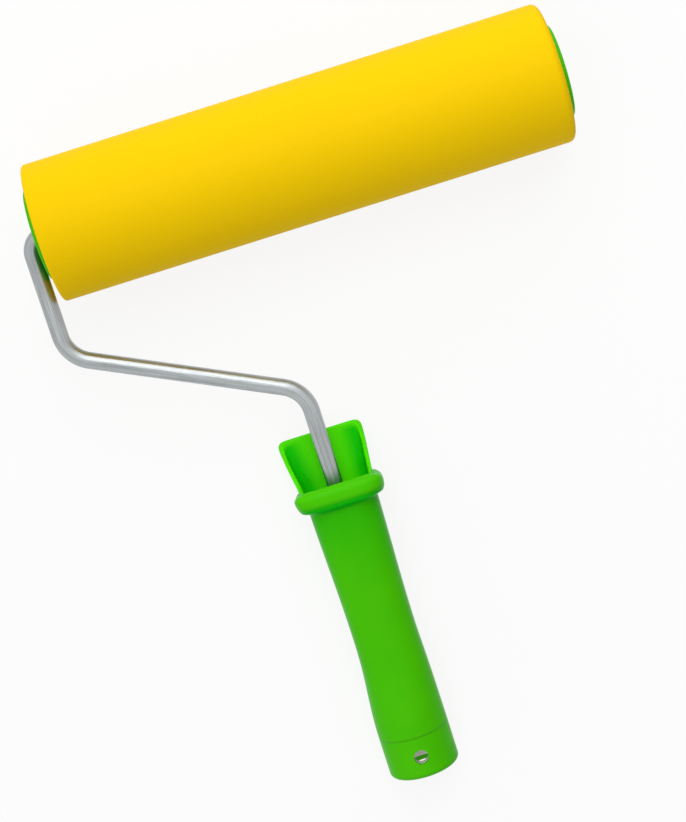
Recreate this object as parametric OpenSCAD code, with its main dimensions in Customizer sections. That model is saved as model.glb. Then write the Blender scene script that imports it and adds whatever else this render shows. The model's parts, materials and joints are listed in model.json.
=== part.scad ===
// Foam-rubber pressing roller: a long soft sleeve that turns on a bent wire frame with a moulded handle.
// The tool lies on a table, on its roller and on the tail of its handle.
// +X runs along the roller away from the arm, +Y from the handle to the roller, +Z up.
// The origin is on the table, under the middle of the tool's box.

/* [Roller] */
// Length of the foam-rubber sleeve
roller_len = 181; // [140:1:260]
// Outside diameter of the sleeve
roller_d = 48; // [46:0.5:56]
// Thickness of the foam rubber
foam_t = 8; // [6:0.1:9]
// Rounding of the sleeve's end edges
edge_r = 1.8; // [0.5:0.1:3]
// How far each cap's rim stands out of the sleeve
rim_stand = 2; // [1:0.1:2.8]

/* [Wire frame] */
// Diameter of the wire
rod_d = 5.8; // [5:0.1:6]
// Distance of the arm's middle from the sleeve's end
arm_offset = 5.85; // [5.8:0.05:9]
// Distance of the arm's corner from the roller's axis
arm_drop = 42.5; // [38:0.5:60]
// Distance of the shank's corner from the roller's axis
shank_drop = 78; // [70:0.5:90]
// Sideways distance of the shank from the roller's middle, towards the arm
shank_side = 22.4; // [0:0.1:40]
// Radius of the hook bend beside the roller, to the wire's middle
hook_r = 6.3; // [5:0.1:6.5]
// Radius of the two frame bends, to the wire's middle
bend_r = 12; // [9:0.5:14]

/* [Handle] */
// Distance of the scoop's top edge from the roller's axis
mouth_drop = 95; // [92:0.5:110]
// Length of the handle, from the scoop's top edge to the tail
handle_len = 125; // [115:1:150]
// Width across the scoop's top edge
scoop_w = 33; // [28:0.1:34]
// Width across the rolled front lip
lip_w = 31.6; // [30:0.1:36]
// Height of the rolled front lip, along the handle
lip_h = 8.4; // [7.5:0.1:10]
// Diameter of the grip just below the lip
grip_d = 24.8; // [23.6:0.1:26]
// Diameter of the grip at its waist
waist_d = 22.6; // [22.4:0.1:23.4]
// Diameter of the tail collar
tail_d = 25.2; // [24.8:0.1:27]
// Diameter of the socket for an extension pole
pole_d = 17; // [15:0.5:17]
// Diameter of the hanging hole across the tail
hang_d = 5.2; // [4:0.1:6]

/* [Hidden] */

$fn = 96;
hull_fn = 32;        // facets round the corners of the scoop
slab_t = 0.5;        // thickness of the slabs that the scoop runs between
eps = 0.01;          // lap that joins touching shapes

LIME = [0.36, 0.80, 0.06];               // moulded caps and handle
YELLOW = [0.98, 0.80, 0.05];             // foam rubber
ZINC = [0.72, 0.74, 0.76];               // plated steel
NYLON = [0.93, 0.92, 0.87];              // natural off-white plastic

// Roller, measured along its axis from the sleeve's end, outwards
half_len = roller_len / 2;
roller_r = roller_d / 2;
glue_t = 0.05;                           // film of adhesive under the foam
core_r = roller_r - foam_t;              // outside of the core tube
core_wall = 1.6;
spigot_r = core_r - core_wall;           // the caps press into this bore
rim_r = core_r - 0.1;
rim_round = 0.6;
dish_r = spigot_r - 1.5;                 // bore of the cap's dish
web_out = -8.4;                          // outer face of the cap's web
web_t = 1.6;
spigot_in = -16;                         // inner end of the spigot
rib_count = 6;
rib_t = 1.4;
rib_first = 15;                          // angle of the first rib
rib_lap = 0.5;                           // how far a rib runs into the walls beside it
hub_r = 6.6;
hub_in = -22;
hub_out = -7.5;
bush_r = 4.5;
bush_flange_r = 6;
bush_flange_t = 1;
run_gap = 0.05;                          // running clearance on the wire, all round
side_gap = 0.2;                          // end play between neighbouring faces
washer_r = 6.4;
washer_t = 1;
washer_in = hub_out + bush_flange_t + side_gap;
stop_in = washer_in + washer_t + side_gap;   // stop ears, or push nut
cover_out = -0.2;                        // outer face of the far cap's cover
cover_t = 1.4;
cover_skirt = 4.4;
cover_wall = 0.9;

// Wire
rod_r = rod_d / 2;
weld_lap = 0.2;                          // how far a straight length runs into a bend
weld_step = 0.01;                        // how much thinner a straight length is than a bend
arm_x = half_len + arm_offset;
axle_end = half_len - 2.9;               // the axle's cut end, inside the far cap
shank_end = mouth_drop + 70;             // the shank's cut end, inside the handle
ear_t = 2.4;
ear_r = 4.5;
lug_len = 6;
lug_w = 8.4;
lug_t = 2.4;
lug_from_end = 12;
rod_points = [[axle_end, 0], [-arm_x, 0], [-arm_x, -arm_drop],
              [-shank_side, -shank_drop], [-shank_side, -shank_end]];
rod_bends = [0, hook_r, bend_r, bend_r, 0];
nut_r = 5.6;
nut_t = 0.6;
nut_slots = 6;
nut_slot_w = 0.6;
nut_slot_r = 4;                          // how far out the slots between the tongues reach

// Handle, measured along it from the scoop's top edge
lip_z = 15;                              // top of the rolled lip
lip_r = lip_h / 2;
neck_z = 26;                             // where the mouth has narrowed to the bore
scoop_back = 13.6;                       // outer face of the scoop's back at its top edge
scoop_wall = 1.8;
scoop_corner = 3.2;                      // rounding of the scoop's top corners, seen from the front
scoop_round = 5;                         // rounding between the scoop's back and its side walls
scoop_front = grip_d / 2 - 2;            // front edge of the scoop's side walls at the top
neck_half_w = grip_d / 2 + 0.3;
side_step = 4;                           // depth at which the scoop's side walls begin
side_rise = 2;                           // how far they have come forward there
shell_bore = 9.7;
shell_end = handle_len - 1.6;
collar_len = 15;
collar_round = 2;
tail_z = handle_len - collar_len;
spigot_tail_r = tail_d / 2 - 1.4;
waist_z = 82;
grip_steps = 16;
socket_z = 28;
socket_len = 44;
socket_tube_r = 5.6;
socket_disc_t = 3;
socket_ribs = 6;
socket_rib_t = 1.6;
socket_lap = 0.5;                        // how far a rib runs into the tube
pole_depth = 37;
pole_floor = 1.5;
hang_z = handle_len - 8;

// Lying pose: the frame leans down until the tail collar meets the table
lean_a = mouth_drop + handle_len - collar_round;
lean_b = tail_d / 2 - collar_round;
lean = asin((roller_r - collar_round) / norm([lean_a, lean_b])) - atan2(lean_b, lean_a);
tail_y = -lean_a * cos(lean) - lean_b * sin(lean) - collar_round;
shift_x = (arm_x + rod_r - half_len - rim_stand) / 2;
shift_y = -(roller_r + tail_y) / 2;

// Puts the tool, drawn round the roller's axis, on the table
module on_table()
    translate([shift_x, shift_y, roller_r]) rotate([lean, 0, 0]) children();

// Turns a shape drawn along +Z to lie along the axle, its zero at the sleeve's far or near end
module at_end(side)
    on_table() mirror([side < 0 ? 1 : 0, 0, 0]) translate([half_len, 0, 0]) rotate([0, 90, 0]) children();

// Turns a shape drawn along +Z, with +Y to the front, to lie along the handle
module in_handle()
    on_table() translate([-shank_side, -mouth_drop, 0]) rotate([90, 0, 0]) children();

// A ring between two radii and two heights
module ring(inner, outer, low, high)
    rotate_extrude() translate([inner, low]) square([outer - inner, high - low]);

// ---- roller ----

module rubber_sleeve() color(YELLOW) at_end(1)
    rotate_extrude() difference() {
        translate([core_r + glue_t, -roller_len]) square([foam_t - glue_t, roller_len]);
        for (low = [-roller_len, -edge_r])
            difference() {
                translate([roller_r - edge_r, low]) square([edge_r + eps, edge_r]);
                translate([roller_r - edge_r, low < -edge_r ? low + edge_r : low]) circle(edge_r);
            }
    }

module core_tube() color(NYLON) at_end(1)
    ring(spigot_r, core_r, -roller_len, 0);

// Dished cap: rim, spigot, web, hub and stiffening ribs
module end_cap() {
    rotate_extrude() {
        difference() {
            translate([dish_r, 0]) square([rim_r - dish_r, rim_stand]);
            difference() {
                translate([rim_r - rim_round, rim_stand - rim_round]) square(rim_round + eps);
                translate([rim_r - rim_round, rim_stand - rim_round]) circle(rim_round);
            }
        }
        translate([dish_r, spigot_in]) square([spigot_r - dish_r, eps - spigot_in]);
        translate([bush_r, web_out - web_t]) square([dish_r + eps - bush_r, web_t]);
        translate([bush_r, hub_in]) square([hub_r - bush_r, hub_out - hub_in]);
    }
    for (turn = [0:rib_count - 1])
        rotate([0, 0, rib_first + turn * 360 / rib_count])
            translate([hub_r - rib_lap, -rib_t / 2, spigot_in])
                cube([dish_r - hub_r + 2 * rib_lap, rib_t, web_out - web_t - spigot_in + eps]);
}

module near_end_cap() color(LIME) at_end(-1) end_cap();
module far_end_cap() color(LIME) at_end(1) end_cap();

// Disc with a short skirt that snaps into the far cap's dish
module far_cap_cover() color(LIME) at_end(1) {
    ring(0, dish_r, cover_out - cover_t, cover_out);
    ring(dish_r - cover_wall, dish_r, cover_out - cover_t - cover_skirt, cover_out - cover_t + eps);
}

// Flanged plain bearing
module bush() {
    ring(rod_r + run_gap, bush_r, hub_in, hub_out + eps);
    ring(rod_r + run_gap, bush_flange_r, hub_out, hub_out + bush_flange_t);
}

module near_bush() color(NYLON) at_end(-1) bush();
module far_bush() color(NYLON) at_end(1) bush();

module thrust_washer() ring(rod_r + run_gap, washer_r, washer_in, washer_in + washer_t);

module near_thrust_washer() color(ZINC) at_end(-1) thrust_washer();
module far_thrust_washer() color(ZINC) at_end(1) thrust_washer();

// Star nut: a flat ring whose tongues bite on the wire, with a raised outer lip
module push_nut() color(ZINC) at_end(1) difference() {
    union() {
        ring(rod_r, nut_r, stop_in, stop_in + nut_t);
        ring(nut_r - nut_t, nut_r, stop_in, stop_in + 2 * nut_t);
    }
    for (turn = [0:nut_slots - 1])
        rotate([0, 0, turn * 360 / nut_slots])
            translate([0, -nut_slot_w / 2, stop_in - nut_t])
                cube([nut_slot_r, nut_slot_w, 4 * nut_t]);
}

// ---- wire frame ----

function heading(a, b) = atan2(b[1] - a[1], b[0] - a[0]);
function turn_at(p, i) =
    let (d = heading(p[i], p[i + 1]) - heading(p[i - 1], p[i]))
    d > 180 ? d - 360 : d < -180 ? d + 360 : d;
// Length of straight wire that a bend takes up on each side of its corner
function bend_cut(p, r, i) = (i == 0 || i == len(p) - 1) ? 0 : r[i] * tan(abs(turn_at(p, i)) / 2);

// Round wire along a flat path with a radius at each inner corner. Each straight length is a hair thinner
// than the bends and runs a little way into them.
module bent_wire(p, r, wire_r) {
    last = len(p) - 2;
    for (i = [0:last]) {
        from = bend_cut(p, r, i) - (i == 0 ? 0 : weld_lap);
        to = norm(p[i + 1] - p[i]) - bend_cut(p, r, i + 1) + (i == last ? 0 : weld_lap);
        translate([p[i][0], p[i][1], 0]) rotate([0, 0, heading(p[i], p[i + 1])])
            translate([from, 0, 0]) rotate([0, 90, 0]) cylinder(r = wire_r - weld_step, h = to - from);
    }
    for (i = [1:len(p) - 2]) {
        turn = turn_at(p, i);
        side = sign(turn);
        translate([p[i][0], p[i][1], 0]) rotate([0, 0, heading(p[i - 1], p[i])])
            translate([-bend_cut(p, r, i), side * r[i], 0]) mirror([0, side < 0 ? 1 : 0, 0])
                rotate([0, 0, -90]) rotate_extrude(angle = abs(turn)) translate([r[i], 0]) circle(wire_r);
    }
}

module frame_rod() color(ZINC) {
    on_table() bent_wire(rod_points, rod_bends, rod_r);
    // swaged stop ears beside the near washer
    at_end(-1) intersection() {
        translate([-ear_r, -ear_t / 2, stop_in]) cube([2 * ear_r, ear_t, ear_t]);
        translate([0, 0, stop_in]) cylinder(r = ear_r, h = ear_t);
    }
    // flattened lug that keeps the shank from turning in its socket
    in_handle() translate([-lug_w / 2, -lug_t / 2, shank_end - mouth_drop - lug_from_end])
        cube([lug_w, lug_t, lug_len]);
}

// ---- handle ----

// Thin slab with rounded corners, from back to front
module rounded_slab(half_w, back, front, corner, z)
    for (x = [-1, 1], y = [-back + corner, front - corner])
        translate([x * (half_w - corner), y, z]) cylinder(r = corner, h = slab_t, $fn = hull_fn);

// Outline of the grip: radius at a distance along the handle, a smooth waist between lip and tail
function grip_r(z) =
    z < waist_z
        ? waist_d / 2 + (grip_d - waist_d) / 4 * (1 + cos(180 * (z - lip_z) / (waist_z - lip_z)))
        : waist_d / 2 + (tail_d - waist_d) / 4 * (1 - cos(180 * (z - waist_z) / (tail_z - waist_z)));

module grip_body()
    rotate_extrude() polygon(concat(
        [[0, lip_z + lip_r]],
        [for (i = [0:grip_steps])
            let (z = lip_z + lip_r + i / grip_steps * (tail_z - lip_z - lip_r)) [grip_r(z), z]],
        [[spigot_tail_r, tail_z], [spigot_tail_r, shell_end], [0, shell_end]]));

module scoop_outer() hull() {
    rounded_slab(scoop_w / 2, scoop_back, scoop_front, scoop_round, 0);
    rounded_slab(neck_half_w, grip_d / 2, grip_d / 2, scoop_front, neck_z - slab_t);
}

module scoop_inner() hull() {
    rounded_slab(scoop_w / 2 - scoop_wall, scoop_back - scoop_wall, grip_d / 2, scoop_round - scoop_wall / 2,
                 -slab_t);
    translate([0, 0, neck_z]) cylinder(r = shell_bore, h = 2 * slab_t, $fn = hull_fn);
}

module rolled_lip()
    rotate_extrude() translate([0, lip_z + lip_r]) {
        translate([lip_w / 2 - lip_r, 0]) circle(lip_r);
        translate([0, -lip_r]) square([lip_w / 2 - lip_r, lip_h]);
    }

// Takes away the front of the scoop above the lip; the side walls slope back from the lip to the plate
module scoop_front_cut() {
    inner_face = -scoop_back + scoop_wall;
    rotate([90, 0, 90]) translate([0, 0, -scoop_w]) linear_extrude(2 * scoop_w)
        polygon([[inner_face, -1], [inner_face + side_rise, side_step], [grip_d / 4, lip_z],
                 [grip_d, lip_z], [grip_d, -1]]);
}

// Rounds the two top corners of the scoop
module scoop_corner_cut()
    for (side = [0, 1]) mirror([side, 0, 0])
        translate([scoop_w / 2 - scoop_corner, 0, scoop_corner]) rotate([90, 0, 0])
            linear_extrude(4 * scoop_back, center = true) difference() {
                translate([0, -scoop_corner - 1]) square(scoop_corner + 1);
                circle(scoop_corner);
            }

module hanging_hole()
    translate([0, 0, hang_z]) rotate([90, 0, 0]) cylinder(d = hang_d, h = 2 * tail_d, center = true);

module grip_shell() color(LIME) in_handle() difference() {
    union() {
        scoop_outer();
        rolled_lip();
        grip_body();
    }
    scoop_inner();
    scoop_front_cut();
    scoop_corner_cut();
    translate([0, 0, neck_z]) cylinder(r = shell_bore, h = handle_len);
    hanging_hole();
}

// Ribbed insert that grips the wire's shank
module rod_socket() color(LIME) in_handle() difference() {
    union() {
        ring(rod_r, socket_tube_r, socket_z, socket_z + socket_len);
        for (z = [socket_z, socket_z + socket_len - socket_disc_t])
            ring(socket_tube_r - eps, shell_bore, z, z + socket_disc_t);
        for (turn = [0:socket_ribs - 1])
            rotate([0, 0, turn * 360 / socket_ribs])
                translate([socket_tube_r - socket_lap, -socket_rib_t / 2, socket_z + 1])
                    cube([shell_bore - socket_tube_r + socket_lap - 0.2, socket_rib_t, socket_len - 2]);
    }
    translate([-lug_w / 2, -lug_t / 2, shank_end - mouth_drop - lug_from_end])
        cube([lug_w, lug_t, lug_from_end + lug_len]);
}

// Cup that takes an extension pole
module pole_socket() color(NYLON) in_handle() difference() {
    ring(0, shell_bore, shell_end - pole_depth - pole_floor, shell_end);
    translate([0, 0, shell_end - pole_depth]) cylinder(d = pole_d, h = pole_depth + 1);
    hanging_hole();
}

// Ring pressed over the shell's tail
module tail_collar() color(LIME) in_handle() difference() {
    rotate_extrude() difference() {
        translate([pole_d / 2, tail_z]) square([(tail_d - pole_d) / 2, collar_len]);
        difference() {
            translate([tail_d / 2 - collar_round, handle_len - collar_round]) square(collar_round + eps);
            translate([tail_d / 2 - collar_round, handle_len - collar_round]) circle(collar_round);
        }
    }
    translate([0, 0, tail_z - 1]) cylinder(r = spigot_tail_r, h = shell_end - tail_z + 1);
    hanging_hole();
}

rubber_sleeve();
core_tube();
near_end_cap();
far_end_cap();
far_cap_cover();
near_bush();
far_bush();
near_thrust_washer();
far_thrust_washer();
push_nut();
frame_rod();
grip_shell();
rod_socket();
pole_socket();
tail_collar();
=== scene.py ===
"""Looks of a foam-rubber pressing roller: yellow sleeve, lime end caps, zinc-plated wire and moulded grip."""
import json
import math

import bpy
import numpy as np
from mathutils import Matrix, Vector


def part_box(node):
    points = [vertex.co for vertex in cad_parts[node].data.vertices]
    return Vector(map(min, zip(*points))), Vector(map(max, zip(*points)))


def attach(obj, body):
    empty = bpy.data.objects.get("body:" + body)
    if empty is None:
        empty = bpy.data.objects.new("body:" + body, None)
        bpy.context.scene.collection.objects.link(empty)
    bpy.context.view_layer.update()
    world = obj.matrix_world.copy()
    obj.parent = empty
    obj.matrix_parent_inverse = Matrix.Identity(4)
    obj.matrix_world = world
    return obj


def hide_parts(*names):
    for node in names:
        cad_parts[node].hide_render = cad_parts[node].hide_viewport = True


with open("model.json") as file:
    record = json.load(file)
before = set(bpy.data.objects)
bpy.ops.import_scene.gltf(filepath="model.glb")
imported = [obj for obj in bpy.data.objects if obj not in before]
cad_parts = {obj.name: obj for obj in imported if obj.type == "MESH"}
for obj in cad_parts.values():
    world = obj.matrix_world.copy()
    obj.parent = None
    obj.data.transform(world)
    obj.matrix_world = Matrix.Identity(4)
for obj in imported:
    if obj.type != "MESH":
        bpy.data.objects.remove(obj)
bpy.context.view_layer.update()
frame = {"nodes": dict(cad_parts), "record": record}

MM = 0.001

# ---------------------------------------------------------------- places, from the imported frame
MOUNTS = {m["name"]: m for m in frame["record"]["mounts"]}
SLEEVE_LOW, SLEEVE_HIGH = (np.array(corner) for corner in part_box("rubber_sleeve"))
AXIS_MID = (SLEEVE_LOW + SLEEVE_HIGH) / 2
SLEEVE_HALF = (SLEEVE_HIGH[0] - SLEEVE_LOW[0]) / 2
SLEEVE_R = (SLEEVE_HIGH[2] - SLEEVE_LOW[2]) / 2

SIDE = np.array([1.0, 0.0, 0.0])                                # along the roller
ALONG = np.array(MOUNTS["pole_socket"]["axis"], float)          # from the mouth to the tail
ALONG /= np.linalg.norm(ALONG)
FRONT = np.cross(SIDE, -ALONG)                                  # out of the frame's plane, upwards

HANDLE_LEN = 125 * MM
TAIL = (np.array(MOUNTS["pole_socket"]["pos_m"])
        + ALONG * MOUNTS["pole_socket"]["dims"]["length_mm"] / 2 * MM)
MOUTH = TAIL - ALONG * HANDLE_LEN
SHANK_X = MOUTH[0]
MOUTH_DROP = float(np.dot(MOUTH - AXIS_MID, ALONG))


# ---------------------------------------------------------------- meshes from grids of points
def grid_piece(name, points, body, close_rows=False, poles=(None, None), attributes=None):
    """A closed surface from an array of points, rows by columns. Columns always close into a ring. The rows
    close into a torus, or each open end closes as a fan round its pole point."""
    rows, cols = points.shape[:2]
    col = np.arange(cols)
    nxt = (col + 1) % cols
    row = np.arange(rows if close_rows else rows - 1)[:, None]
    after = (row + 1) % rows
    quads = np.stack([row * cols + col, row * cols + nxt, after * cols + nxt, after * cols + col], -1)
    quads = quads.reshape(-1, 4)
    verts = points.reshape(-1, 3)
    fans = []
    for pole, ring, flip in ((poles[0], 0, True), (poles[1], rows - 1, False)):
        if pole is None:
            continue
        tip = np.full(cols, len(verts))
        pair = (ring * cols + nxt, ring * cols + col) if flip else (ring * cols + col, ring * cols + nxt)
        fans.append(np.stack([pair[0], pair[1], tip], -1))
        verts = np.vstack([verts, pole])
    tris = np.concatenate([quads[:, [0, 1, 2]], quads[:, [0, 2, 3]]] + fans)
    corners = verts[tris]
    centre = verts.mean(0)
    volume = np.einsum("ij,ij->i", corners[:, 0] - centre,
                       np.cross(corners[:, 1] - centre, corners[:, 2] - centre)).sum()
    if volume < 0:
        quads = quads[:, ::-1]
        fans = [fan[:, ::-1] for fan in fans]
    mesh = bpy.data.meshes.new(name)
    mesh.from_pydata(verts.tolist(), [], quads.tolist() + [f for fan in fans for f in fan.tolist()])
    mesh.polygons.foreach_set("use_smooth", np.ones(len(mesh.polygons), bool))
    for key, values in (attributes or {}).items():
        layer = mesh.attributes.new(key, "FLOAT_VECTOR", "POINT")
        data = np.zeros((len(verts), 3))
        data[:rows * cols] = values.reshape(-1, 3)
        for k, ring in enumerate([r for p, r in ((poles[0], 0), (poles[1], rows - 1)) if p is not None]):
            data[rows * cols + k] = values.reshape(rows, cols, 3)[ring].mean(0)
        layer.data.foreach_set("vector", data.ravel())
    mesh.update()
    piece = bpy.data.objects.new(name, mesh)
    bpy.context.scene.collection.objects.link(piece)
    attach(piece, body)
    return piece


def rounded_outline(corners, steps=7):
    """An outline through corners (place, radius, rounding), each corner replaced by an arc that is tangent to
    both its sides. The first and last corners stay sharp."""
    line = [np.array(corners[0][:2])]
    for before, corner, after in zip(corners, corners[1:], corners[2:]):
        here = np.array(corner[:2])
        a = np.array(before[:2]) - here
        b = np.array(after[:2]) - here
        a, b = a / np.linalg.norm(a), b / np.linalg.norm(b)
        half = math.acos(np.clip(a @ b, -1, 1)) / 2
        if corner[2] == 0 or half > math.radians(89):
            line.append(here)
            continue
        middle = here + (a + b) / np.linalg.norm(a + b) * corner[2] / math.sin(half)
        first = here + a * corner[2] / math.tan(half) - middle
        last = here + b * corner[2] / math.tan(half) - middle
        sweep = math.atan2(first[0] * last[1] - first[1] * last[0], first @ last)
        t = np.linspace(0, sweep, steps)[:, None]
        line.extend(middle + first * np.cos(t) + np.array([-first[1], first[0]]) * np.sin(t))
    line.append(np.array(corners[-1][:2]))
    return np.array(line)


def revolved(name, outline, end, body, cols=192):
    """A ring or disc turned about the roller's axis. The outline gives places outwards from the sleeve's end
    and radii. An outline that starts and ends on the axis is closed there by poles."""
    place, radius = outline[:, 0] * MM, outline[:, 1] * MM
    solid = radius[0] < 1e-6
    keep = slice(1, -1) if solid else slice(0, len(radius))
    angle = np.arange(cols) * 2 * math.pi / cols
    x = AXIS_MID[0] + end * (SLEEVE_HALF + place[keep])
    points = np.stack(np.broadcast_arrays(
        x[:, None],
        AXIS_MID[1] + radius[keep][:, None] * np.cos(angle),
        AXIS_MID[2] + radius[keep][:, None] * np.sin(angle)), -1)
    poles = (None, None)
    if solid:
        poles = tuple(np.array([AXIS_MID[0] + end * (SLEEVE_HALF + p), AXIS_MID[1], AXIS_MID[2]])
                      for p in (place[0], place[-1]))
    return grid_piece(name, points, body, close_rows=not solid, poles=poles)


# ---------------------------------------------------------------- roller
FOAM_BORE = 16.05                                               # radius, mm
FAR_ROUND, NEAR_ROUND, INNER_ROUND = 2.3, 1.0, 0.4              # roundings of the foam's edges, mm


def make_sleeve():
    """The foam tube: a long ring with rounded outer edges, softer at the far end, and broken inner edges."""
    length, outer = 2 * SLEEVE_HALF / MM, SLEEVE_R / MM
    stations = [(-length * k / 24, outer, 0) for k in range(1, 24)]
    outline = rounded_outline(
        [(-length / 2, FOAM_BORE, 0), (0, FOAM_BORE, INNER_ROUND), (0, outer, FAR_ROUND)] + stations
        + [(-length, outer, NEAR_ROUND), (-length, FOAM_BORE, INNER_ROUND), (-length / 2, FOAM_BORE, 0)],
        steps=9)
    piece = revolved("foam_sleeve", outline[:-1], 1, "roller", cols=256)
    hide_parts("rubber_sleeve")
    return piece


# places outwards from the sleeve's end, radii and roundings, mm
CAP_OUTLINE = [(-8, 14.35, 0), (0, 14.35, 0), (0, 15.85, 0.1), (2, 15.85, 0.7), (2, 12.95, 0.6),
               (-8.4, 12.9, 1.4), (-8.4, 9.6, 0.5), (-7.9, 9.2, 0.3), (-8.4, 8.8, 0.3), (-8.4, 6.6, 0.5),
               (-7.5, 6.6, 0.4), (-7.5, 4.5, 0.1), (-20, 4.5, 0), (-20, 6.4, 0), (-10, 6.6, 0.8),
               (-10, 12.8, 0.8), (-16, 12.9, 0), (-16, 14.35, 0.4), (-8, 14.35, 0)]
COVER_OUTLINE = [(-0.5, 0, 0), (-0.5, 1.6, 0.3), (-0.2, 2.2, 0.3), (-0.2, 8.0, 0.3), (-0.6, 8.5, 0.3),
                 (-0.6, 9.3, 0.3), (-0.2, 9.8, 0.3), (-0.2, 12.85, 0.5), (-6, 12.85, 0.2), (-6, 11.95, 0.2),
                 (-1.7, 11.95, 0.3), (-1.7, 0, 0)]


def make_caps():
    """Both end caps: rim, dished wall, web with a raised ring, and hub; and the far cap's snap-in cover."""
    pieces = []
    for name, node, end in (("near_cap", "near_end_cap", -1), ("far_cap", "far_end_cap", 1)):
        piece = revolved(name, rounded_outline(CAP_OUTLINE)[:-1], end, "roller")
        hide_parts(node)
        pieces.append(piece)
    cover = revolved("far_cover", rounded_outline(COVER_OUTLINE), 1, "roller")
    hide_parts("far_cap_cover")
    return pieces + [cover]


# ---------------------------------------------------------------- bent wire
WIRE_R = 2.9 * MM
ARM_X = 96.35 * MM
ARM_DROP = 42.5 * MM
SHANK_DROP = 78 * MM
HOOK_R = 6.3 * MM
BEND_R = 12 * MM
AXLE_SHORT = 2.9 * MM                                           # the axle's cut end, inside the far cap
SHANK_IN = 70 * MM                                              # the shank's length inside the handle
EAR_PLACE = 3.8 * MM                                            # middle of the stop ears, from the near end
EAR_HALF = 1.1 * MM
NOSE = 1.1 * MM                                                 # length of the dome on a cut end


def wire_route(spacing=1.2 * MM):
    """The wire's middle line as points on straight lengths and arcs, with its running distance and heading.
    They stand closer along the axle, which carries the stop ears."""
    side = AXIS_MID[0]
    corners = np.array([[SLEEVE_HALF - AXLE_SHORT, 0], [-ARM_X, 0], [-ARM_X, -ARM_DROP],
                        [SHANK_X - side, -SHANK_DROP], [SHANK_X - side, -MOUTH_DROP - SHANK_IN]])
    bends = [0, HOOK_R, BEND_R, BEND_R, 0]
    points, start = [], corners[0]
    for k in range(1, len(corners)):
        lead = corners[k] - corners[k - 1]
        lead /= np.linalg.norm(lead)
        cut, turn = 0, 0
        if k < len(corners) - 1:
            out = corners[k + 1] - corners[k]
            out /= np.linalg.norm(out)
            turn = math.atan2(lead[0] * out[1] - lead[1] * out[0], lead @ out)
            cut = bends[k] * math.tan(abs(turn) / 2)
        end = corners[k] - lead * cut
        count = max(2, int(np.linalg.norm(end - start) / (spacing / 3 if k == 1 else spacing)))
        points.append(start + (end - start) * np.linspace(0, 1, count, endpoint=False)[:, None])
        if turn:
            normal = np.array([-lead[1], lead[0]]) * math.copysign(1, turn)
            middle = end + normal * bends[k]
            steps = max(8, int(abs(turn) * bends[k] / (spacing * 0.6)))
            t = np.linspace(0, turn, steps, endpoint=False)[:, None]
            arm = end - middle
            points.append(middle + arm * np.cos(t) + np.array([-arm[1], arm[0]]) * np.sin(t))
            start = middle + arm * math.cos(turn) + np.array([-arm[1], arm[0]]) * math.sin(turn)
    points.append(corners[-1][None])
    line = np.concatenate(points)
    step = np.gradient(line, axis=0)
    heading = step / np.linalg.norm(step, axis=1)[:, None]
    run = np.concatenate([[0], np.cumsum(np.linalg.norm(np.diff(line, axis=0), axis=1))])
    return line, heading, run


def make_wire(cols=48):
    """A circle carried along the route. Where the stop ears are swaged it turns into a flat oval, and both cut
    ends are slightly domed."""
    line, heading, run = wire_route()
    side_way = np.stack([-heading[:, 1], heading[:, 0]], 1)
    ear_run = 2 * SLEEVE_HALF - AXLE_SHORT - EAR_PLACE
    ear = np.exp(-((run - ear_run) / EAR_HALF) ** 6)
    nose = np.minimum(run, run[-1] - run) / NOSE
    dome = np.sqrt(np.clip(1 - (1 - np.clip(nose, 0, 1)) ** 2, 0, 1)) * 0.25 + 0.75
    wide = WIRE_R * (1 + 0.5 * ear) * dome
    thick = WIRE_R * (1 - 0.48 * ear) * dome
    angle = np.arange(cols) * 2 * math.pi / cols
    flat = (line[:, None] + side_way[:, None] * (wide[:, None] * np.cos(angle))[..., None])
    high = thick[:, None] * np.sin(angle)
    points = (AXIS_MID + flat[..., :1] * SIDE + flat[..., 1:] * -ALONG + high[..., None] * FRONT)
    centre = AXIS_MID + line[:, :1] * SIDE + line[:, 1:] * -ALONG
    lines = np.stack(np.broadcast_arrays(np.cos(angle), np.sin(angle), run[:, None] / (10 * MM)), -1)
    piece = grid_piece("bent_wire", points, "frame",
                       poles=(centre[0] + 0.3 * MM * SIDE, centre[-1] + 0.3 * MM * ALONG),
                       attributes={"drawn": np.ascontiguousarray(lines)})
    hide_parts("frame_rod")
    return piece


# ---------------------------------------------------------------- moulded grip
# all in mm; places run along the handle from the scoop's top edge, widths are half widths
LIP_TOP, LIP_H = 15.5, 7.7
LIP_MID = LIP_TOP + LIP_H / 2
LIP_DROP_TOP, LIP_DROP_LOW = 2.8, 1.0                           # how much lower the lip sits at its sides
FILLET_H, FILLET = 1.2, 0.45                                    # fillet where the lip leaves the grip
NECK_Z, WAIST_Z, COLLAR_Z = 22.0, 72.0, 110.0
STUB_Z, STUB_R = 112.6, 11.1                                    # stub that the tail collar sits on
BORE_R, SCOOP_FOOT = 9.75, 34.0                                 # the scoop meets the bore below its foot
WALL = 1.5
TOP_WIDTH, TOP_FRONT, TOP_BACK, TOP_POWER = 16.45, 11.1, 13.2, 12.0
TOP_CORNER = 3.2                                                # rounding of the scoop's top corners
NECK_WIDTH, NECK_BACK = 12.38, 11.08
WAIST_WIDTH, LIP_SWELL, TAIL_SWELL = 11.3, 1.1, 1.3             # swells are added to the waist's width
GRIP_STRAY, TOP_STRAY = 0.75, 0.4                               # sideways from the wire, to either side
LIP_PAINTED_LIGHT = 0.2                                                  # share of painted light on the lip, lightening its green
SHADE_UNDER_LIP = 0.5                                                 # strength of the painted shadow, a deeper green, just under the lip


def smooth(x, low, high):
    """An S-curve from 0 at low to 1 at high."""
    t = np.clip((x - low) / (high - low), 0, 1)
    return t * t * (3 - 2 * t)


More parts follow.
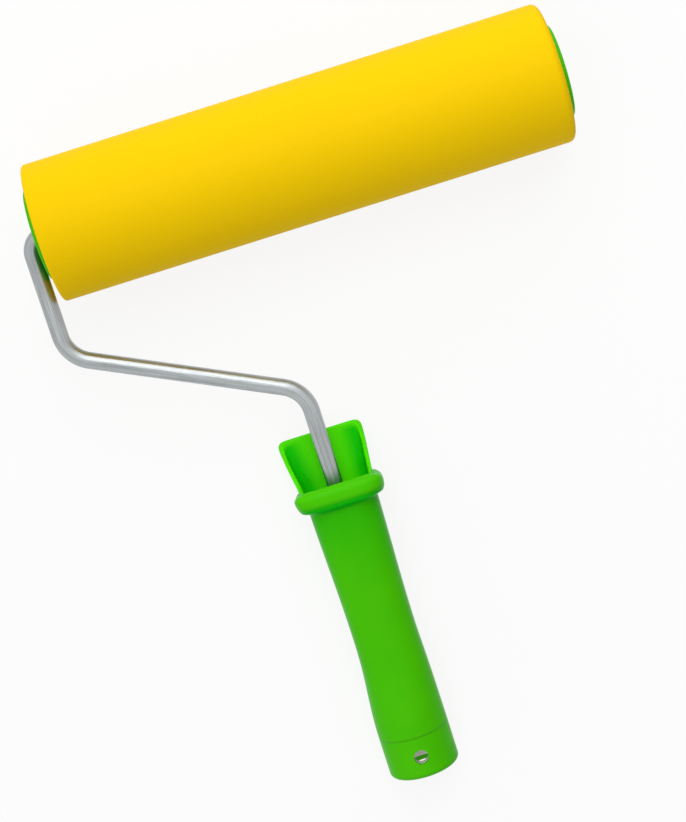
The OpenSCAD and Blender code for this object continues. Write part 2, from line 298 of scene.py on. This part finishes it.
def half_width(z):
    """Half the grip's width: a flared scoop, then a cosine waist, out again to the tail."""
    scoop = TOP_WIDTH - (TOP_WIDTH - NECK_WIDTH) * (np.clip(z, 0, NECK_Z) / NECK_Z) ** 0.85
    down = WAIST_WIDTH + LIP_SWELL / 2 * (1 + np.cos(np.pi * (z - LIP_TOP) / (WAIST_Z - LIP_TOP)))
    up = WAIST_WIDTH + TAIL_SWELL / 2 * (1 - np.cos(np.pi * (z - WAIST_Z) / (COLLAR_Z - WAIST_Z)))
    return np.where(z < NECK_Z, scoop, np.where(z < WAIST_Z, down, up))


def half_depth(z):
    """Half the grip's depth: slimmer than it is wide, and round again at the tail."""
    slim = 1 - 0.075 * (1 - smooth(z, 70, COLLAR_Z))
    return np.where(z < NECK_Z, TOP_FRONT, half_width(z) * slim)


def section(angle, width, front, back, power):
    """Points at even polar angles on |x / width| ** power + |y / depth| ** power = 1."""
    c, s = np.cos(angle), np.sin(angle)
    depth = np.where(s > 0, front, back)
    radius = (np.abs(c / width) ** power + np.abs(s / depth) ** power) ** (-1 / power)
    return radius * c, radius * s


def make_grip(cols=256):
    """The grip as one closed surface, a polar superellipse at each place along the handle plus an offset. Each
    column runs up the outside, over the rolled lip, up the scoop's wall, over its edge, down the inside, along
    the bore, and back to the shoulder under the tail collar."""
    angle = (np.arange(cols) + 0.5) * 2 * math.pi / cols
    top_x, top_y = section(angle, TOP_WIDTH, TOP_FRONT, TOP_BACK, TOP_POWER)
    is_front = smooth(top_y, 2.0, 6.5)
    # the edge's place: round corners on the back plate, then side walls that slope down to the lip
    reach = np.clip(np.abs(top_x) - (TOP_WIDTH - TOP_CORNER), 0, TOP_CORNER * 0.985)
    corner_rise = np.where(top_y < 0, TOP_CORNER - np.sqrt(TOP_CORNER ** 2 - reach ** 2), 0)
    wall_rise = 5.4 + (top_y + 11.2) * 0.76
    edge = np.maximum(corner_rise, np.where(top_y > -11.7, wall_rise, 0))
    ring = np.exp(-0.5 * (np.arange(-5, 6) / 1.3) ** 2)
    edge = np.convolve(np.concatenate([edge[-5:], edge, edge[:5]]), ring / ring.sum(), "valid")
    edge = np.minimum(edge, LIP_TOP - 0.8)
    rim = WALL / 2

    # each row also carries two shares for the plastic's colour: painted shade (a deeper green) and painted
    # light (a lighter green)
    z_rows, off_rows, painted_shade_rows, painted_light_rows = [], [], [], []

    def rows(z, off, painted_shade=0.0, painted_light=0.0):
        for kept, values in zip((z_rows, off_rows, painted_shade_rows, painted_light_rows),
                                np.broadcast_arrays(z, off, painted_shade, painted_light)):
            kept.append(np.broadcast_to(values, (values.shape[0], cols)))

    def column(low, high, count, end=True):
        return np.linspace(low, high, count, endpoint=end)[:, None]

    # the grip, from the collar to the lip
    at_side = 1 - smooth(np.sin(angle), 0.0, 0.75)
    lip_top = LIP_TOP + LIP_DROP_TOP * at_side
    lip_half = (LIP_H - (LIP_DROP_TOP - LIP_DROP_LOW) * at_side) / 2
    lip_mid = lip_top + lip_half
    lip_low = lip_mid + lip_half + FILLET_H
    t = column(0, 1, 90, False)
    # painted shade: a deeper green on the grip's last stretch before the lip, where the lip's shadow falls
    rows(COLLAR_Z + (lip_low - COLLAR_Z) * t, 0.0, SHADE_UNDER_LIP * smooth(t, 0.6, 1.0))
    # lower half of the lip, with a fillet where it leaves the grip
    t = column(1, 0, 22, False)
    bulge = 1.7 + 1.5 * smooth(np.sin(angle), -0.9, -0.1) - 0.4 * smooth(np.sin(angle), 0.2, 1.0)
    z_low = lip_mid + (lip_low - lip_mid) * t
    full = (1 - np.abs(np.clip((z_low - lip_mid) / lip_half, 0, 1)) ** 2.6) ** (1 / 2.6)
    fillet = FILLET * np.exp(-((z_low - lip_mid - lip_half) / 0.7) ** 2) * smooth(t, 1.0, 0.85)
    # painted shade on the lip's underside, and painted light near the lip's middle that fades out below it
    shaded_underside = smooth(z_low, lip_mid + 0.6, lip_mid + 2.8)
    rows(z_low, bulge * full + fillet, shaded_underside * (SHADE_UNDER_LIP + (1 - SHADE_UNDER_LIP) * smooth(t, 1.0, 0.93)),
         LIP_PAINTED_LIGHT * (1 - smooth(z_low, lip_mid, lip_mid + 1.6)))
    # upper half, ending on the wall, or in front on the middle of the wall's rounded top
    t = column(0, 1, 22)
    lip_end = 0.15 * (1 - is_front) - rim * is_front
    # painted light on the lip's upper half
    rows(lip_mid - lip_half * t, lip_end + (bulge - lip_end) * (1 - t ** 2.8) ** (1 / 2.8), 0.0, LIP_PAINTED_LIGHT)
    # scoop wall, edge, and the inside down to the bore
    # painted light over the whole scoop: its wall, its rounded edge and its inside
    wall_top = np.where(is_front > 0.98, lip_top - 0.01, np.minimum(edge + rim, lip_top - 0.05))
    t = column(0.03, 1, 28, False)
    rows(lip_top + (wall_top - lip_top) * t, lip_end * (1 - smooth(t, 0, 0.25) * (1 - is_front)), 0.0, 1.0)
    alpha = column(0, 1, 12, False) * (np.pi - is_front * np.pi / 2) + is_front * np.pi / 2
    rows(wall_top - rim * np.sin(alpha) + is_front * rim, -rim + rim * np.cos(alpha), 0.0, 1.0)
    inner_top = wall_top + is_front * rim
    # painted shade: a deeper green inside the scoop beside its side walls
    shade_beside_wall = smooth(np.abs(top_x), 6.0, 14.0)
    t = column(0, 1, 40)
    rows(inner_top + (SCOOP_FOOT - inner_top) * t, -WALL, shade_beside_wall * smooth(t, 0, 0.06), 1.0)
    z, off, painted_shade, painted_light = (np.concatenate(kept) for kept in (z_rows, off_rows, painted_shade_rows, painted_light_rows))

    # nearly a rectangle at the scoop's top, squarish at the lip, and a circle at the collar
    power = (TOP_POWER - (TOP_POWER - 2.8) * smooth(z, 0, NECK_Z) - 0.25 * smooth(z, NECK_Z, WAIST_Z)
             - 0.55 * smooth(z, 70, COLLAR_Z) + 1.6 * np.exp(-((z - LIP_MID) / 4.0) ** 4))
    back = np.where(z < NECK_Z, TOP_BACK - (TOP_BACK - NECK_BACK) * z / NECK_Z, half_depth(z))
    x, y = section(angle, half_width(z) + off, half_depth(z) + off, back + off, power)
    # the moulding's middle strays a little from the wire between the scoop's top edge and the grip
    x = (x + GRIP_STRAY * smooth(z, 8, 22) * (1 - smooth(z, 80, 108))
         - TOP_STRAY * (1 - smooth(z, 0, 12)))
    # bore, stub under the collar and shoulder are round
    tail = np.array([(36, BORE_R), (60, BORE_R), (86, BORE_R), (STUB_Z, BORE_R), (STUB_Z, 10.4),
                     (STUB_Z, STUB_R), (COLLAR_Z + 0.1, STUB_R)])
    x = np.concatenate([x, tail[:, 1:] * np.cos(angle)])
    y = np.concatenate([y, tail[:, 1:] * np.sin(angle)])
    z = np.concatenate([z, tail[:, :1] * np.ones(cols)])
    # painted shade fills the bore's inside, with no painted light
    inside = np.ones((len(tail), cols))
    painted_shade, painted_light = np.concatenate([painted_shade, inside]), np.concatenate([painted_light, 0 * inside])
    points = (MOUTH + (x * MM)[..., None] * SIDE + (y * MM)[..., None] * FRONT + (z * MM)[..., None] * ALONG)
    # the painted shade and painted light shares go to the mesh as point attributes
    piece = grid_piece("moulded_grip", points, "frame", close_rows=True,
                       attributes={"painted_shade": np.repeat(painted_shade[..., None], 3, axis=2),
                                   "painted_light": np.repeat(painted_light[..., None], 3, axis=2)})
    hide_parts("grip_shell")
    return piece


# ---------------------------------------------------------------- shader expressions
class Value:
    """A socket whose arithmetic adds Math nodes."""

    def __init__(self, tree, socket):
        self.tree, self.socket = tree, socket

    def _math(self, operation, *operands):
        maths = self.tree.nodes.new("ShaderNodeMath")
        maths.operation = operation
        for slot, operand in zip(maths.inputs, operands):
            if isinstance(operand, Value):
                self.tree.links.new(operand.socket, slot)
            else:
                slot.default_value = operand
        return Value(self.tree, maths.outputs[0])

    def __add__(self, other): return self._math("ADD", self, other)
    def __radd__(self, other): return self._math("ADD", other, self)
    def __sub__(self, other): return self._math("SUBTRACT", self, other)
    def __rsub__(self, other): return self._math("SUBTRACT", other, self)
    def __mul__(self, other): return self._math("MULTIPLY", self, other)
    def __rmul__(self, other): return self._math("MULTIPLY", other, self)
    def __pow__(self, other): return self._math("POWER", self, other)
    def clamp(self): return self._math("MINIMUM", self._math("MAXIMUM", self, 0.0), 1.0)


class Finish:
    """One material: its tree, its surface shader, and the one method that adds any other node."""

    def __init__(self, name, **surface):
        self.material = bpy.data.materials.new(name)
        self.material.use_nodes = True
        self.tree = self.material.node_tree
        self.shader = self.tree.nodes["Principled BSDF"]
        for socket, value in surface.items():
            self.shader.inputs[socket.replace("_", " ")].default_value = value

    def node(self, kind, output=0, settings=None, **sockets):
        made = self.tree.nodes.new("ShaderNode" + kind)
        for key, value in (settings or {}).items():
            if key == "stops":
                for k, (place, colour) in enumerate(value):
                    stop = made.color_ramp.elements[k] if k < 2 else made.color_ramp.elements.new(place)
                    stop.position, stop.color = place, colour
            else:
                setattr(made, key, value)
        for key, value in sockets.items():
            socket = made.inputs[int(key[1:])] if key[0] == "i" and key[1:].isdigit() \
                else made.inputs[key.replace("_", " ")]
            if isinstance(value, Value):
                self.tree.links.new(value.socket, socket)
            else:
                socket.default_value = value
        return Value(self.tree, made.outputs[output])

    def place(self):
        return self.node("TexCoord", output="Object")

    def noise(self, where, scale, detail=3.0, rough=0.5):
        return self.node("TexNoise", Vector=where, Scale=scale, Detail=detail, Roughness=rough)

    def mix(self, factor, first, second, blend="MIX"):
        return self.node("Mix", output=2, settings={"data_type": "RGBA", "blend_type": blend},
                         i0=factor, i6=first, i7=second)

    def bump(self, height, strength, depth):
        return self.node("Bump", Height=height, Strength=strength, Distance=depth)

    def feed(self, socket, value):
        self.tree.links.new(value.socket, self.shader.inputs[socket])


def rgb(red, green, blue):
    return (red, green, blue, 1.0)


def foam_finish():
    """Matte skinned foam rubber: very fine closed cells, a soft cloudy tone and a faint ground grain."""
    foam = Finish("foam_rubber", Specular_IOR_Level=0.03)
    where = foam.place()
    cloud = foam.noise(where, 28.0, 3.0)
    cells = foam.node("TexVoronoi", Vector=where, Scale=1500.0)
    grain = foam.noise(where, 900.0, 4.0, 0.65)
    warm = foam.mix((cloud - 0.35).clamp() * 0.8, rgb(0.93, 0.605, 0.0012), rgb(0.91, 0.575, 0.0012))
    foam.feed("Base Color", foam.mix((grain - 0.56).clamp() * 1.2, warm, rgb(0.83, 0.51, 0.0012)))
    foam.feed("Roughness", 0.45 + grain * 0.2)
    foam.feed("Normal", foam.bump(cells * 0.5 + grain, 0.3, 0.0001))
    return foam.material


def lime_finish():
    """Moulded polypropylene: faint flow marks and a tiny orange peel, with painted light on the lip and over
    the scoop, and painted shade, a deeper green, beside the scoop's walls, under the lip and in the bore."""
    lime = Finish("lime_plastic", Specular_IOR_Level=0.05, IOR=1.49)
    where = lime.place()
    flow = lime.noise(where, 45.0, 2.0)
    peel = lime.noise(where, 420.0, 3.0)
    # painted shade: share of a deeper green, read from the grip's attribute
    painted_shade = lime.node("Attribute", output="Fac", settings={"attribute_name": "painted_shade"})
    # painted light: share of a lighter green, read from the grip's attribute
    painted_light = lime.node("Attribute", output="Fac", settings={"attribute_name": "painted_light"})
    face = lime.mix(flow, rgb(0.052, 0.51, 0.0005), rgb(0.082, 0.58, 0.0005))
    # painted light: a much lighter yellow-green mixed into the plastic's own flow-marked green
    wall = lime.mix(painted_light, face, rgb(0.085, 0.84, 0.0005))
    # painted shade: a deeper green, itself made lighter where painted light is also asked for
    painted_shade_green = lime.mix(painted_light, rgb(0.001, 0.46, 0.0005), rgb(0.006, 0.62, 0.0005))
    lime.feed("Base Color", lime.mix(painted_shade, wall, painted_shade_green))
    lime.feed("Roughness", 0.26 + peel * 0.12)
    lime.feed("Normal", lime.bump(peel, 0.10, 0.0001))
    return lime.material


def drawn_zinc_finish():
    """Zinc-plated drawn wire: streaks that follow the wire, and a soft bluish mottling of the plating."""
    zinc = Finish("zinc_wire", Metallic=1.0)
    lines = zinc.node("Attribute", output="Vector", settings={"attribute_name": "drawn"})
    streak_at = zinc.node("Mapping", Vector=lines, Scale=(7.0, 7.0, 0.35))
    fine_at = zinc.node("Mapping", Vector=lines, Scale=(22.0, 22.0, 0.9))
    streak = zinc.noise(streak_at, 1.0, 3.0, 0.6)
    fine = zinc.noise(fine_at, 1.0, 3.0, 0.7)
    mottle = zinc.noise(zinc.place(), 260.0, 3.0)
    shade = (streak * 0.55 + fine * 0.45 - 0.32) * 2.6
    tone = zinc.mix(shade.clamp(), rgb(0.20, 0.215, 0.22), rgb(0.60, 0.63, 0.64))
    zinc.feed("Base Color", zinc.mix((mottle - 0.45).clamp() * 1.2, tone, rgb(0.44, 0.49, 0.51)))
    zinc.feed("Roughness", (0.22 + fine * 0.22).clamp())
    zinc.feed("Normal", zinc.bump(streak + fine * 0.7, 0.4, 0.00012))
    return zinc.material


def plated_finish():
    """Zinc-plated pressed steel for washers and the push nut."""
    plated = Finish("zinc_pressed", Metallic=1.0)
    where = plated.place()
    grain = plated.noise(where, 700.0, 4.0, 0.6)
    mottle = plated.noise(where, 150.0, 2.0)
    plated.feed("Base Color", plated.mix(mottle, rgb(0.42, 0.44, 0.45), rgb(0.66, 0.68, 0.68)))
    plated.feed("Roughness", 0.25 + grain * 0.25)
    plated.feed("Normal", plated.bump(grain, 0.2, 0.0001))
    return plated.material


def nylon_finish():
    """Natural off-white nylon: slightly waxy, with faint clouding and a fine moulded grain."""
    nylon = Finish("natural_nylon", Specular_IOR_Level=0.4)
    where = nylon.place()
    cloud = nylon.noise(where, 90.0, 3.0)
    grain = nylon.noise(where, 800.0, 3.0)
    nylon.feed("Base Color", nylon.mix(cloud, rgb(0.80, 0.78, 0.68), rgb(0.88, 0.87, 0.80)))
    nylon.feed("Roughness", 0.4 + grain * 0.15)
    nylon.feed("Normal", nylon.bump(grain, 0.15, 0.0001))
    return nylon.material


# ---------------------------------------------------------------- stage, light and camera
def seen_directly(path):
    """1 for rays from the camera, from a glossy bounce or through glass, and 0 for the rest."""
    return (path("Is Camera Ray") + path("Is Glossy Ray") + path("Is Transmission Ray")).clamp()


FLOOR_LIFT = 0.86                                               # share of plain white in the floor as seen
FLOOR_BOUNCE = 0.75                                             # the floor's grey for the light it sends back
WORLD_LIGHT = 0.75
DARK_SIDE = 0.8                                                 # how much dimmer the world lights from +X


def make_floor():
    """A wide pale floor that is seen lifted almost to white, with the tool's shadow kept."""
    bpy.ops.mesh.primitive_plane_add(size=12, location=(0, 0, 0))
    floor = bpy.context.object
    floor.name = "floor"
    paint = Finish("pale_floor", Roughness=0.9, Specular_IOR_Level=0.05)
    direct = seen_directly(lambda output: paint.node("LightPath", output=output))
    speck = paint.noise(paint.place(), 3.0, 2.0)
    near = paint.mix(speck * 0.2, rgb(0.93, 0.93, 0.93), rgb(0.95, 0.95, 0.95))
    bounce = rgb(FLOOR_BOUNCE, FLOOR_BOUNCE, FLOOR_BOUNCE)
    paint.feed("Base Color", paint.mix(direct, bounce, near))
    glow = paint.node("Emission", Color=rgb(1, 1, 1), Strength=1.0)
    blend = paint.tree.nodes.new("ShaderNodeMixShader")
    paint.tree.links.new((direct * FLOOR_LIFT).socket, blend.inputs[0])
    paint.tree.links.new(paint.shader.outputs[0], blend.inputs[1])
    paint.tree.links.new(glow.socket, blend.inputs[2])
    paint.tree.links.new(blend.outputs[0], paint.tree.nodes["Material Output"].inputs["Surface"])
    floor.data.materials.append(paint.material)


def make_world():
    """A dim surround that lights the object softly, less from beyond the roller's far end, and plain white
    behind it and in its reflections."""
    world = bpy.data.worlds.new("studio")
    bpy.context.scene.world = world
    world.use_nodes = True
    tree = world.node_tree
    tree.nodes.clear()
    output = tree.nodes.new("ShaderNodeOutputWorld")
    background = tree.nodes.new("ShaderNodeBackground")
    background.inputs["Color"].default_value = rgb(1.0, 1.0, 1.0)
    path = tree.nodes.new("ShaderNodeLightPath")
    direct = seen_directly(lambda output: Value(tree, path.outputs[output]))
    coordinates = tree.nodes.new("ShaderNodeTexCoord")
    parts = tree.nodes.new("ShaderNodeSeparateXYZ")
    tree.links.new(coordinates.outputs["Generated"], parts.inputs[0])
    dark_side = ((Value(tree, parts.outputs["X"]) - 0.15) * 1.8).clamp() * DARK_SIDE
    strength = direct + (1.0 - direct) * (1.0 - dark_side) * WORLD_LIGHT
    tree.links.new(strength.socket, background.inputs["Strength"])
    tree.links.new(background.outputs[0], output.inputs["Surface"])


def soft_box(name, place, size, watts):
    """A square area lamp that faces the tool's middle."""
    lamp = bpy.data.lights.new(name, "AREA")
    lamp.shape = "SQUARE"
    lamp.size = size
    lamp.energy = watts
    holder = bpy.data.objects.new(name, lamp)
    holder.location = place
    aim = Vector((0, 0.03, 0.02)) - Vector(place)
    holder.rotation_euler = aim.to_track_quat("-Z", "Y").to_euler()
    bpy.context.scene.collection.objects.link(holder)


VIEW_TIP = math.radians(10.0)
VIEW_PAN = math.radians(0.92)
VIEW_ROLL = math.radians(-17.43)
LENS_MM = 97.2
# the point of the frame's plane under the camera, from the roller's middle
VIEW_FOOT = (-0.08 * MM, 43.87 * MM)
VIEW_HEIGHT = 752.8 * MM


def make_camera():
    """Looks down on the frame's plane, tipped a little towards the tail, and rolled about its own axis."""
    data = bpy.data.cameras.new("view")
    data.lens = LENS_MM
    data.clip_start = 0.01
    camera = bpy.data.objects.new("view", data)
    place = AXIS_MID + SIDE * VIEW_FOOT[0] - ALONG * VIEW_FOOT[1] + FRONT * VIEW_HEIGHT
    down = (ALONG * math.sin(VIEW_TIP)
            - (FRONT * math.cos(VIEW_PAN) + SIDE * math.sin(VIEW_PAN)) * math.cos(VIEW_TIP))
    down /= np.linalg.norm(down)
    right = SIDE - (SIDE @ down) * down
    right /= np.linalg.norm(right)
    up = np.cross(right, down)
    turned = right * math.cos(VIEW_ROLL) + up * math.sin(VIEW_ROLL)
    up = np.cross(turned, down)
    pose = Matrix([[turned[k], up[k], -down[k], place[k]] for k in range(3)] + [[0, 0, 0, 1]])
    camera.matrix_world = pose
    bpy.context.scene.collection.objects.link(camera)
    bpy.context.scene.camera = camera


# ---------------------------------------------------------------- build
def dress(piece, material):
    piece.data.materials.clear()
    piece.data.materials.append(material)


make_camera()
lime, zinc, plated, nylon = lime_finish(), drawn_zinc_finish(), plated_finish(), nylon_finish()
dress(make_sleeve(), foam_finish())
for cap in make_caps():
    dress(cap, lime)
dress(make_wire(), zinc)
dress(make_grip(), lime)
NODE_FINISH = {"core_tube": nylon, "near_bush": nylon, "far_bush": nylon, "pole_socket": nylon,
               "rod_socket": lime, "tail_collar": lime, "near_thrust_washer": plated,
               "far_thrust_washer": plated, "push_nut": plated}
for node_name, material in NODE_FINISH.items():
    dress(frame["nodes"][node_name], material)

make_floor()
make_world()
soft_box("key", (0.35, 1.0, 0.6), 1.0, 5.0)
soft_box("top", (0.0, 0.75, 1.25), 0.75, 5.0)
bpy.context.scene.view_settings.view_transform = "Standard"
